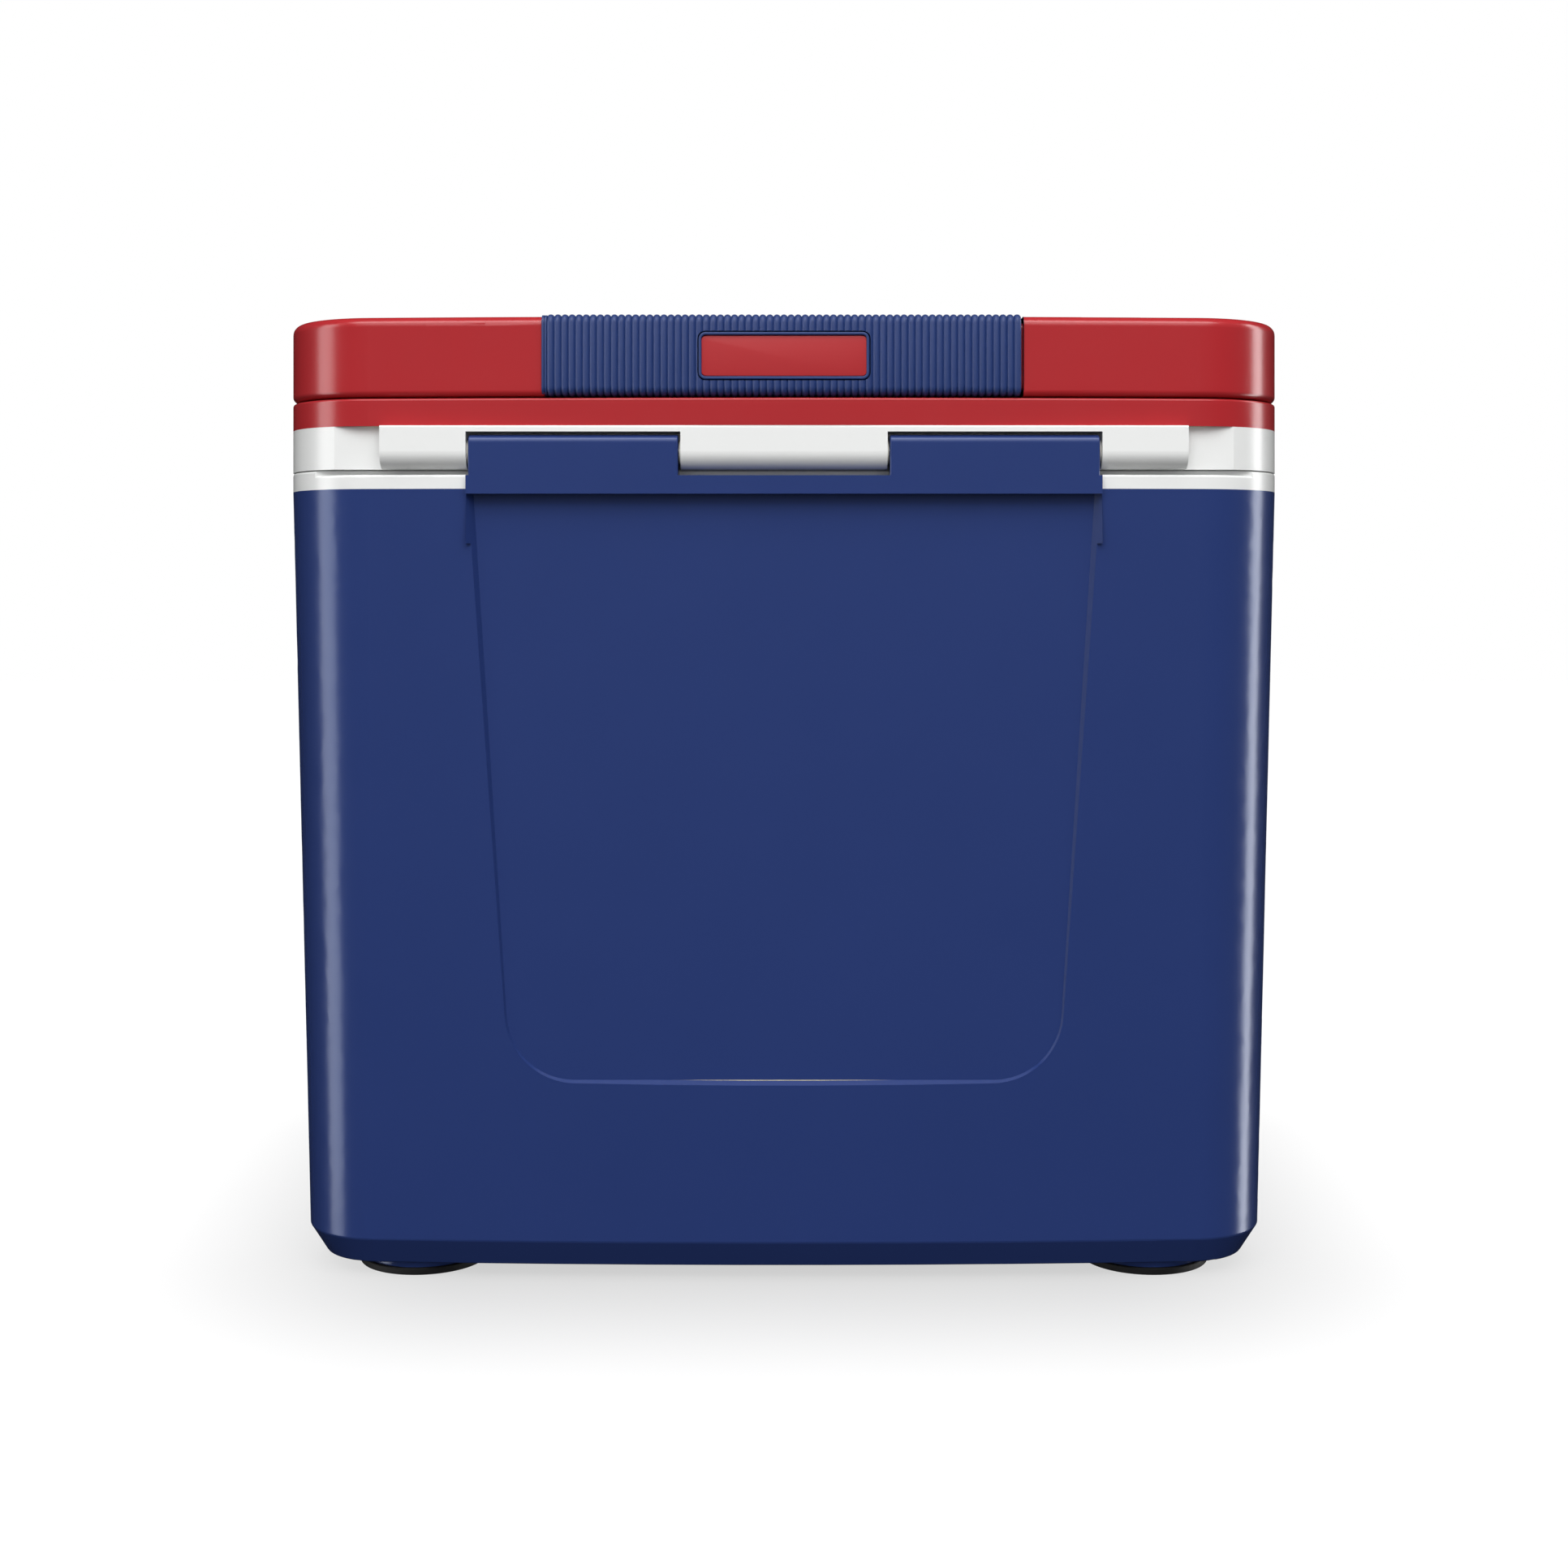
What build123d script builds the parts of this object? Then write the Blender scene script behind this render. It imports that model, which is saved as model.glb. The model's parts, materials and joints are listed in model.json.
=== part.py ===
from build123d import *
import os
from math import cos, hypot, radians, sin

os.makedirs("parts", exist_ok=True)

# Hard-sided cooler chest with a hinged lid and a swinging carry handle.
# Millimetres, +Z up. The origin is on the ground under the middle of the chest.
# The lid hinges along the -Y side; +Y is the side that opens.

# --- Plan -------------------------------------------------------------------
width = 411.0  # across X
depth = 295.0  # across Y
corner_radius = 40.0  # plan corners at the lid
corner_least = 6.0  # smallest plan corner of an inner surface
bow = 7.0  # how far the two long sides curve outwards over the whole width
draft = 1.34  # the tub's walls lean in towards the base, degrees
overlap = 1.0  # how far a cutting body runs past the face that it cuts
near = 0.01  # tolerance for picking edges by their height

# --- Heights, from the ground up --------------------------------------------
pad_height = 2.9  # rubber foot
boss_height = 3.0  # moulded boss between base and foot
shell_height = 315.4  # base underside to the shell's top edge
collar_height = 7.7  # white rim
lid_gap = 0.3  # closed lid above the rim
lid_base_height = 17.3  # white lower half of the lid
band_height = 11.1  # band of the lid cover below the handle
handle_gap = 0.7  # folded handle above the band's ledge
handle_height = 32.2
lid_top_drop = 0.8  # lid top below the handle's top

base_z = pad_height + boss_height
shell_top = base_z + shell_height
collar_top = shell_top + collar_height
lid_bottom = collar_top + lid_gap
lid_base_top = lid_bottom + lid_base_height
ledge_z = lid_base_top + band_height
handle_bottom = ledge_z + handle_gap
handle_top = handle_bottom + handle_height
lid_top = handle_top - lid_top_drop

# --- Tub walls --------------------------------------------------------------
shell_wall = 2.5
foam_wall = 22.0
liner_wall = 2.5
foam_floor = 24.0
liner_radius = 12.0  # inside edge between the liner's floor and walls
foam_fit = 0.1  # foam to the plastic around it
liner_inset = shell_wall + foam_wall  # outside of the liner from the outside
cavity_inset = liner_inset + liner_wall
liner_floor_z = base_z + shell_wall + foam_floor

# --- Base -------------------------------------------------------------------
chamfer_height = 11.3
chamfer_angle = 31.8  # from vertical
chamfer_blend = 1.5
chamfer_z = base_z + chamfer_height

# --- Hinge plate and boss, along X ------------------------------------------
hinge_face = -depth / 2
boss_inset = 43.5  # straight hinge boss of the lid, from the chest's sides
end_knuckle = 34.5  # lid knuckle at each end of the boss
boss_half = width / 2 - boss_inset
plate_half = boss_half - end_knuckle  # hinge plate moulded on the shell

# --- Shallow panel pressed into both long sides -----------------------------
panel_step = 2.4  # panel narrower than the hinge plate, on each side
panel_taper = 14.6  # panel narrower at its foot than at its top, on each side
panel_top_drop = 2.1  # panel's top below the shell's top
panel_foot = 76.8  # panel's foot above the base
panel_top_half = plate_half - panel_step
panel_low_half = panel_top_half - panel_taper
panel_top_z = shell_top - panel_top_drop
panel_height = panel_top_z - base_z - panel_foot
panel_sink = 6.0  # floor of the panel behind the middle of the face, at its top
panel_lean = 0.6  # the panel's floor stands steeper than the wall, degrees
panel_flare = 30.0  # its side walls open outwards, degrees
panel_corner = 27.5
front_panel_drop = 18.0  # the opening side's panel starts this much lower
front_panel_corner = 14.0

# --- Rim collar and liner flange --------------------------------------------
collar_plate = 4.5
collar_blend = 1.0
tongue_wall = 2.4  # lip that locates the collar inside the shell
tongue_depth = 9.0
tongue_fit = 0.35
flange_reach = 7.0  # liner flange over the collar, from the cavity outwards
flange_thickness = 2.5
flange_fit = 0.1
relief_depth = 13.4  # the hinge side's rim is lowered this far in
relief_height = 2.0

# --- Lid hinge --------------------------------------------------------------
barrel_radius = 6.9  # rounded lower edge of the lid's knuckles
knuckle_gap = 1.0  # between a lid knuckle and a shell knuckle
centre_knuckle_half = 41.5
knuckle_drop = 0.1  # shell knuckle top below the barrel's radius
knuckle_blend = 3.3
knuckle_back_blend = 5.0
knuckle_edge = 0.8
plate_below_barrel = 2.7
plate_foot = 22.0  # plate block reaches this far below the shell's top
plate_back_drop = 0.2  # plate's back face short of the barrel's far side
plate_thickness = 2 * barrel_radius - plate_back_drop
notch_gap = 1.1  # lid above the shell's knuckle
notch_room = 0.28  # lid around the knuckle's turning corner
notch_wall = 2.9
knuckle_top = barrel_radius - knuckle_drop
notch_ceiling = knuckle_top + notch_gap
knuckle_corner = hypot(barrel_radius - knuckle_blend, knuckle_top - knuckle_blend) + knuckle_blend
notch_clear = knuckle_corner + notch_room
corner_set_back = 8.0  # lid base beside the boss
plate_fit = 0.4  # collar and foam around the plate block
hinge_y = hinge_face + barrel_radius
hinge_z = lid_bottom + barrel_radius
pin_radius = 2.0
pin_fit = 0.05
pin_bite = 11.5  # pin's hold in the lid's middle knuckle
pin_cover = 5.0  # lid knuckle beyond the pin's outer end
pin_inner = centre_knuckle_half - pin_bite
pin_outer = boss_half - pin_cover
washer_thickness = 0.7
washer_radius = 4.8

# --- Lid --------------------------------------------------------------------
lid_wall = 2.5
lid_base_wall = 3.0
lid_floor = 4.0
plug_fit = 2.5  # raised underside of the lid inside the liner's mouth
plug_inset = cavity_inset + plug_fit
plug_depth = 12.0
plug_blend = 5.0
gasket_back = 5.4  # gasket's outer edge, from the liner's mouth outwards
gasket_width = 4.0
gasket_outer = cavity_inset - gasket_back
gasket_inner = gasket_outer + gasket_width
gasket_groove = 2.2
gasket_clear = 0.1  # gasket above the liner's flange
gasket_fit = 0.05
pull_half = 46.0  # finger recess under the opening edge
pull_depth = 9.5
pull_height = 8.5
pull_blend = 3.0
top_blend = 3.0
recess_border = 21.2  # from the handle's channel to the shallow recess in the lid's top
recess_depth = 1.4
post_inset_x = 58.0  # screw posts of the lid
post_inset_y = 55.5
post_radius = 5.0
screw_radius = 1.7
screw_fit = 0.1
screw_reach = 16.0
screw_tip = 1.0  # hole beyond the screw's end
screw_head_radius = 3.4
screw_head = 2.0
head_sink = 0.5  # screw heads below the face around them

# --- Carry handle -----------------------------------------------------------
arm_thickness = 14.0
bar_depth = 24.0
handle_inner_corner = 26.0
handle_clear = 0.8  # handle to the lid's raised top
recess_inset = bar_depth + handle_clear + recess_border
bar_top_blend = 4.0
bar_low_blend = 2.5
hub_proud = 0.8  # hub larger than the bar's height, on each side
hub_radius = handle_height / 2 + hub_proud
hub_blend = 2.0
pivot_z = handle_bottom + handle_height / 2
lobe_clear = 0.5  # upright locking lobe above the rim
lobe_length = pivot_z - collar_top - lobe_clear
lobe_half = 8.0
lobe_thickness = 6.0
nose_height = 3.4
nose_reach = 4.8
channel_x = width / 2 - arm_thickness - handle_clear  # lid wall inside the arms
grip_half = 96.1
grip_wall = 2.6
grip_front_wall = 4.2
rib_height = 0.8
grip_blend = 4.0
badge_width = 66.4
badge_height = 16.1
badge_thickness = 1.3
badge_corner = 2.0
badge_fit = 0.1
badge_sink = 1.5

# --- Handle pivots ----------------------------------------------------------
pivot_radius = 4.0
pivot_fit = 0.05
pivot_head_radius = 7.5
pivot_head = 2.5
pivot_head_gap = 0.5  # under the head
head_room = 2.0  # around the head
bush_radius = 6.5
bush_fit = 0.02
bush_length = 7.0
cap_radius = 10.9
cap_thickness = 2.8
cap_fit = 0.1
backing_length = 34.0
backing_height = 20.0
backing_thickness = 4.0
backing_blend = 2.8
pivot_tail = 6.0  # threaded end behind the lid's wall

# --- Lid lock on the rim ----------------------------------------------------
catch_web = 2.3
catch_half = 7.5
catch_gap = 0.5  # between the handle's nose and the catch's ledge
catch_ledge = 3.4
catch_foot = 6.0
catch_plate = 2.5
catch_screw_spread = 4.5
catch_screw_radius = 1.2
catch_screw_length = 10.2
catch_head_radius = 2.2
catch_sink = 1.25  # depth of the countersink

# --- Feet -------------------------------------------------------------------
foot_inset_x = 54.0
foot_inset_y = 46.5
pad_radius = 26.5
foot_boss_radius = 25.0
pad_blend = 0.7
foot_post_radius = 5.5
foot_post_height = 14.0
foot_screw_radius = 1.7
foot_screw_reach = 7.0  # into the post
foot_head_radius = 4.5
foot_head = 1.6
fill_radius = 8.0  # hole that the foam is poured through
fill_plug_length = 5.0
fill_fit = 0.05


def plan(inset=0.0):
    """Rounded rectangle with bowed long sides, moved in by inset."""
    half_w, half_d = width / 2 - inset, depth / 2 - inset
    side = half_d - bow * (2 * half_w / width) ** 2
    outline = [
        Line((half_w, -side), (half_w, side)),
        ThreePointArc((half_w, side), (0, half_d), (-half_w, side)),
        Line((-half_w, side), (-half_w, -side)),
        ThreePointArc((-half_w, -side), (0, -half_d), (half_w, -side)),
    ]
    face = make_face(outline)
    return fillet(face.vertices(), max(corner_radius - inset, corner_least))


def prism(inset, low, high):
    """Upright block on the plan, moved in by inset."""
    return extrude(Pos(0, 0, low) * plan(inset), high - low, dir=(0, 0, 1))


def tub(inset, low):
    """Drafted block hanging from the shell's top edge down to low."""
    return extrude(Pos(0, 0, shell_top) * plan(inset), shell_top - low, dir=(0, 0, -1), taper=draft)


def block(x0, x1, y0, y1, z0, z1):
    """Box between two corners."""
    size = Box(x1 - x0, y1 - y0, z1 - z0)
    return Pos((x0 + x1) / 2, (y0 + y1) / 2, (z0 + z1) / 2) * size


def post(x, y, low, high, radius):
    """Upright cylinder."""
    return Pos(x, y, (low + high) / 2) * Cylinder(radius, high - low)


def rod(x0, x1, y, z, radius):
    """Cylinder along X."""
    return Pos((x0 + x1) / 2, y, z) * Rot(0, 90, 0) * Cylinder(radius, abs(x1 - x0))


def both_sides(part):
    """A part at +X together with its mirror image at -X."""
    return part + mirror(part, Plane.YZ)


# --- Tub --------------------------------------------------------------------


def panel_plane(sink):
    """Plane of the hinge side's panel floor, moved in by sink."""
    lean = radians(panel_lean)
    return Plane(
        origin=(0, hinge_face + sink, panel_top_z),
        x_dir=(1, 0, 0),
        z_dir=(0, -cos(lean), -sin(lean)),
    )


def panel_outline(grow=0.0):
    """Panel shape: wide at the top, with round lower corners."""
    top, low, foot = panel_top_half + grow, panel_low_half + grow, -panel_height
    shape = make_face(Polyline((-top, 0), (top, 0), (low, foot), (-low, foot), close=True))
    return fillet(shape.vertices().sort_by(Axis.Y)[:2], panel_corner)


def front_panel_outline(grow=0.0):
    """The opening side's panel: the same shape, lower and round at all corners."""
    top, low, foot = panel_top_half + grow, panel_low_half + grow, -panel_height
    high = grow - front_panel_drop
    shape = make_face(Polyline((-top, high), (top, high), (low, foot), (-low, foot), close=True))
    by_height = shape.vertices().sort_by(Axis.Y)
    shape = fillet(by_height[:2], panel_corner)
    return fillet(shape.vertices().sort_by(Axis.Y)[-2:], front_panel_corner)


def panel_tools(sink, grow, flare):
    """The two bodies that press the panels in, or that back them up."""
    reach = sink + overlap
    rear = extrude(panel_plane(sink) * panel_outline(grow), reach, taper=-flare)
    rear = rear & block(-width, width, -depth, 0, 0, panel_top_z)
    front = extrude(panel_plane(sink) * front_panel_outline(grow), reach, taper=-flare)
    return [rear, mirror(front, Plane.XZ)]


def tub_outside():
    """Outside of the shell with its chamfered base and foot bosses."""
    walls = tub(0, chamfer_z)
    low_face = walls.faces().sort_by(Axis.Z)[0]
    base = extrude(low_face, chamfer_height, dir=(0, 0, -1), taper=chamfer_angle)
    outside = walls + base
    upper_ring = outside.edges().filter_by(lambda edge: abs(edge.center().Z - chamfer_z) < near)
    outside = fillet(upper_ring, chamfer_blend)
    low_ring = outside.faces().sort_by(Axis.Z)[0].edges()
    return fillet(low_ring, chamfer_blend)


def tub_inside(inset):
    """Hollow inside the shell, or the foam in it, moved in by inset."""
    walls = tub(inset, chamfer_z)
    low_face = walls.faces().sort_by(Axis.Z)[0]
    hollow = walls + extrude(low_face, chamfer_height - inset, dir=(0, 0, -1), taper=chamfer_angle)
    for backing in panel_tools(panel_sink + inset, shell_wall + inset, 0):
        hollow = hollow - backing
    return hollow


def feet_places():
    """Name and place of each foot."""
    foot_x, foot_y = width / 2 - foot_inset_x, depth / 2 - foot_inset_y
    return [
        ("front_left", -foot_x, foot_y),
        ("front_right", foot_x, foot_y),
        ("rear_left", -foot_x, -foot_y),
        ("rear_right", foot_x, -foot_y),
    ]


def hinge_block(grow=0.0):
    """The plate at the top of the hinge side that carries the shell's knuckles."""
    plate_top = lid_bottom - plate_below_barrel
    return block(
        -plate_half - grow,
        plate_half + grow,
        hinge_face - grow,
        hinge_face + plate_thickness + grow,
        shell_top - plate_foot - grow,
        plate_top + grow,
    )


def shell_knuckle():
    """Knuckle on the plate at +X, with a rounded top."""
    inner, outer = centre_knuckle_half + knuckle_gap, plate_half - knuckle_gap
    height = hinge_z + knuckle_top
    shape = block(inner, outer, hinge_face, hinge_face + plate_thickness, shell_top, height)
    top = shape.edges().filter_by(Axis.X).group_by(Axis.Z)[-1].sort_by(Axis.Y)
    shape = fillet(top[-1], knuckle_back_blend)
    top = shape.edges().filter_by(Axis.X).sort_by(Axis.Y)
    front_top = [edge for edge in top if abs(edge.center().Z - height) < near][0]
    shape = fillet(front_top, knuckle_blend)
    ends = shape.faces().filter_by(Axis.X)
    rim = [edge for face in ends for edge in face.edges() if edge.center().Z > shell_top + near]
    return chamfer(rim, knuckle_edge / 2)


def make_outer_shell():
    """Blue outer wall, base and hinge plate."""
    shell = tub_outside() - tub_inside(shell_wall)
    for _, x, y in feet_places():
        shell = shell + post(x, y, pad_height, base_z + shell_wall, foot_boss_radius)
        shell = shell + post(x, y, base_z, base_z + foot_post_height, foot_post_radius)
        shell = shell - post(x, y, pad_height, base_z + foot_post_height - shell_wall, foot_screw_radius)
    shell = shell + hinge_block() + both_sides(shell_knuckle())
    for tool in panel_tools(panel_sink, 0, panel_flare):
        shell = shell - tool
    shell = shell - rod(-plate_half, plate_half, hinge_y, hinge_z, pin_radius + pin_fit)
    return shell - post(0, 0, base_z, base_z + shell_wall, fill_radius)


def ring(outer, inner, low, high):
    """Rim-shaped ring between two insets."""
    return prism(outer, low, high) - prism(inner, low, high)


def catch_recess(grow=0.0):
    """Room for the catch's foot and web in the collar at +X."""
    x0 = channel_x + handle_clear - catch_foot - grow
    x1 = channel_x + handle_clear + catch_web + grow
    low = collar_top - catch_plate - grow
    return block(x0, x1, -catch_half - grow, catch_half + grow, low, collar_top + overlap)


def catch_screw_places():
    """Places of a catch's screws at +X."""
    x = channel_x + handle_clear - catch_foot / 2
    return [(x, -catch_screw_spread), (x, catch_screw_spread)]


def make_rim_collar():
    """White rim that closes the foam space between shell and liner."""
    inner = liner_inset - flange_fit
    collar = ring(0, inner, shell_top, collar_top)
    edges = collar.faces().sort_by(Axis.Z)[-1].outer_wire().edges()
    collar = fillet(edges, collar_blend)
    tongue = shell_wall + tongue_fit
    collar = collar - ring(tongue + tongue_wall, inner - tongue_wall, shell_top, collar_top - collar_plate)
    tongue_z = shell_top - tongue_depth
    collar = collar + ring(tongue, tongue + tongue_wall, tongue_z, collar_top - collar_plate)
    flange = cavity_inset - flange_reach - flange_fit
    collar = collar - prism(flange, collar_top - flange_thickness - flange_fit, collar_top)
    relief = hinge_face + relief_depth
    relief_z = collar_top - relief_height
    collar = collar - block(-width, width, -depth, relief, relief_z, collar_top)
    level = collar.edges().filter_by(lambda edge: abs(edge.center().Z - relief_z) < near)
    front = [edge for edge in level if edge.length > width / 2 and edge.center().Y < hinge_face + bow]
    collar = fillet(front, collar_blend)
    plate_back = hinge_face + plate_thickness + plate_fit
    plate_side = plate_half + plate_fit
    collar = collar - block(-plate_side, plate_side, -depth, plate_back, shell_top, collar_top)
    tongue_side = max(plate_half, panel_top_half + 2 * shell_wall) + plate_fit
    collar = collar - block(-tongue_side, tongue_side, -depth, plate_back, tongue_z, shell_top)
    for x, y in catch_screw_places():
        hole = post(x, y, shell_top, collar_top, catch_screw_radius + screw_fit)
        collar = collar - both_sides(hole)
    return collar - both_sides(catch_recess(flange_fit))


def liner_block(inset, low, blend):
    """Liner-shaped block with a rounded floor edge."""
    walls = tub(inset, low)
    walls = fillet(walls.faces().sort_by(Axis.Z)[0].edges(), blend)
    return walls + prism(inset, shell_top, collar_top)


def make_inner_liner():
    """White food-safe tub with a flange that hangs on the collar."""
    outside = liner_block(liner_inset, liner_floor_z, liner_radius + liner_wall)
    flange = cavity_inset - flange_reach
    outside = outside + prism(flange, collar_top - flange_thickness, collar_top)
    return outside - liner_block(cavity_inset, liner_floor_z + liner_wall, liner_radius)


def make_body_insulation():
    """Foam between shell and liner."""
    neck_z = shell_top - tongue_depth - foam_fit
    foam = tub_inside(shell_wall + foam_fit) - block(-width, width, -depth, depth, neck_z, shell_top)
    neck = shell_wall + tongue_fit + tongue_wall + foam_fit
    inner = liner_inset - flange_fit - tongue_wall - foam_fit
    top = ring(neck, inner, shell_top, collar_top - collar_plate - foam_fit)
    throat = prism(neck, neck_z, shell_top)
    foam = foam + (throat & tub_inside(shell_wall + foam_fit)) + top
    foam = foam - liner_block(liner_inset - foam_fit, liner_floor_z - foam_fit, liner_radius + liner_wall)
    for _, x, y in feet_places():
        foam = foam - post(x, y, 0, base_z + foot_post_height + foam_fit, foot_post_radius + foam_fit)
    foam = foam - post(0, 0, 0, base_z + fill_plug_length + foam_fit, fill_radius + foam_fit)
    block_room = hinge_block(foam_fit) + block(
        -plate_half - foam_fit,
        plate_half + foam_fit,
        hinge_face,
        hinge_face + plate_thickness + plate_fit + foam_fit,
        shell_top - tongue_depth,
        collar_top,
    )
    foam = foam - block_room
    for x, y in catch_screw_places():
        hole = post(x, y, shell_top - tongue_depth, collar_top, catch_screw_radius + screw_fit)
        foam = foam - both_sides(hole)
    return foam


def make_foam_fill_plug():
    """Push-in plug that closes the foaming hole in the base."""
    plug = post(0, 0, base_z, base_z + fill_plug_length, fill_radius - fill_fit)
    return fillet(plug.edges().sort_by(Axis.Z)[0], pad_blend)


def make_foot_pad(x, y):
    """Round rubber foot with a sunk screw."""
    pad = post(x, y, 0, pad_height, pad_radius)
    pad = fillet(pad.edges().sort_by(Axis.Z)[0], pad_blend)
    pad = pad - post(x, y, 0, head_sink + foot_head, foot_head_radius + screw_fit)
    return pad - post(x, y, 0, pad_height, foot_screw_radius + screw_fit)


def make_foot_screws():
    """One screw up through each foot into the shell's post."""
    screws = []
    for _, x, y in feet_places():
        head = post(x, y, head_sink, head_sink + foot_head, foot_head_radius)
        shank = post(x, y, head_sink, base_z + foot_screw_reach, foot_screw_radius - screw_fit)
        screws.append(head + shank)
    return Compound(children=screws)


def countersink(x, y, grow=0.0):
    """Cone of a catch screw's head."""
    cone = Cone(catch_screw_radius + grow, catch_head_radius + grow, catch_sink)
    return Pos(x, y, collar_top - catch_sink / 2) * cone


def catch_shape():
    """Striker at +X: foot, upright web and a ledge the handle's nose slides under."""
    web_x = channel_x + handle_clear
    low = collar_top - catch_plate
    foot = block(web_x - catch_foot, web_x + catch_web, -catch_half, catch_half, low, collar_top)
    ledge_outer = lobe_length - nose_height - catch_gap
    ledge_inner = ledge_outer - catch_ledge
    web = block(web_x, web_x + catch_web, -catch_half, catch_half, low, pivot_z - ledge_inner)
    reach = web_x + catch_web + nose_reach - catch_gap
    sweep = rod(web_x, reach, 0, pivot_z, ledge_outer) - rod(web_x, reach, 0, pivot_z, ledge_inner)
    ledge = sweep & block(web_x, reach, -catch_half, catch_half, lid_bottom, pivot_z)
    catch = foot + web + ledge
    for x, y in catch_screw_places():
        catch = catch - post(x, y, low, collar_top, catch_screw_radius + screw_fit)
        catch = catch - countersink(x, y, screw_fit)
    return catch


def make_catch_screws():
    """Two countersunk screws in each catch."""
    screws = []
    for x, y in catch_screw_places():
        tip = collar_top - catch_screw_length
        shank = post(x, y, tip, collar_top - catch_sink, catch_screw_radius)
        screws.append(countersink(x, y) + shank)
    return Compound(children=screws + [mirror(screw, Plane.YZ) for screw in screws])


# --- Lid --------------------------------------------------------------------


def side_pocket(grow, low, high):
    """Room at +X for the handle's hub and locking lobe as the handle turns."""
    x0 = channel_x - grow
    sweep = lobe_length + handle_clear + grow
    half = lobe_half + handle_clear + grow
    slot_half = hub_radius + handle_clear + grow
    disc = rod(x0, width, 0, pivot_z, sweep)
    fan = disc & block(x0, width, -half, sweep, pivot_z - sweep, pivot_z)
    rest = disc & block(x0, width, 0, sweep, pivot_z, pivot_z + half)
    hub = rod(x0, width, 0, pivot_z, slot_half)
    slot = block(x0, width, -slot_half, slot_half, pivot_z, handle_top + grow)
    return (fan + rest + hub + slot) & block(x0, width, -depth, depth, low, high)


def raised_top(grow, low, high):
    """The lid's raised top, with the channel for the folded handle cut away."""
    front = prism(grow, low, high) & block(-width, width, 0, depth, low, high)
    half = channel_x - grow
    back = hinge_face + bar_depth + handle_clear + grow
    shape = Pos(0, back / 2, low) * Rectangle(2 * half, -back)
    corner = max(handle_inner_corner + handle_clear - grow, corner_least)
    shape = fillet(shape.vertices().sort_by(Axis.Y)[:2], corner)
    top = front + extrude(shape, high - low, dir=(0, 0, 1))
    pocket = side_pocket(grow, low, high)
    return top - pocket - mirror(pocket, Plane.YZ)


def lid_hollow(inset):
    """Hollow of the lid cover, or the foam in it."""
    skin = lid_wall + inset
    band = prism(skin, lid_base_top, ledge_z - skin)
    pocket = side_pocket(skin, lid_base_top, ledge_z)
    band = band - pocket - mirror(pocket, Plane.YZ)
    return band + raised_top(skin, lid_base_top, lid_top - recess_depth - skin)


def screw_places():
    """Places of the six screws that join the lid's halves."""
    x, y = width / 2 - post_inset_x, depth / 2 - post_inset_y
    return [(px, py) for px in (-x, 0, x) for py in (-y, y)]


def make_lid_cover():
    """Red upper half of the lid."""
    upper = raised_top(0, ledge_z, lid_top)
    rim = upper.faces().sort_by(Axis.Z)[-1].edges()
    upper = fillet(rim, top_blend)
    band = prism(0, lid_base_top, ledge_z)
    edges = band.faces().sort_by(Axis.Z)[-1].edges()
    band = fillet(edges, collar_blend)
    pocket = side_pocket(0, lid_base_top, ledge_z)
    band = band - pocket - mirror(pocket, Plane.YZ)
    cover = band + upper
    cover = cover - prism(recess_inset, lid_top - recess_depth, lid_top)
    cover = cover - lid_hollow(0)
    for x, y in screw_places():
        top = lid_top - recess_depth - lid_wall
        cover = cover + post(x, y, lid_bottom + lid_floor - plug_depth, top, post_radius)
        cover = cover - post(x, y, lid_bottom - plug_depth, lid_bottom + screw_reach, screw_radius)
    inner_x = channel_x - lid_wall - overlap
    hole = rod(inner_x, channel_x + overlap, 0, pivot_z, pivot_radius + pivot_fit)
    return cover - both_sides(hole)


def lid_pockets(grow):
    """Side pockets, pull recess and hinge zone that the lid base's hollow stays out of."""
    pocket = side_pocket(grow, lid_bottom - plug_depth, lid_base_top)
    pull = block(
        -pull_half - grow,
        pull_half + grow,
        depth / 2 - pull_depth - grow,
        depth,
        lid_bottom - plug_depth,
        lid_base_top,
    )
    behind = hinge_y + notch_clear + grow
    hinge = block(-width, width, -depth, behind, lid_bottom - plug_depth, lid_base_top)
    return [pocket, mirror(pocket, Plane.YZ), pull, hinge]


def lid_base_hollow(inset):
    """Hollow of the lid base, or the foam in it."""
    floor = lid_bottom + lid_floor + inset
    hollow = prism(lid_base_wall + inset, floor, lid_base_top)
    for pocket in lid_pockets(lid_base_wall + inset):
        hollow = hollow - pocket
    plug = prism(plug_inset + lid_base_wall + inset, floor - plug_depth, floor)
    return hollow + plug


def lid_notch():
    """Space in the lid base for the shell's knuckle at +X."""
    notch = block(
        centre_knuckle_half,
        plate_half,
        -depth,
        hinge_y + notch_clear,
        lid_bottom - overlap,
        hinge_z + notch_ceiling,
    )
    return notch + rod(centre_knuckle_half, plate_half, hinge_y, hinge_z, notch_clear)


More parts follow.
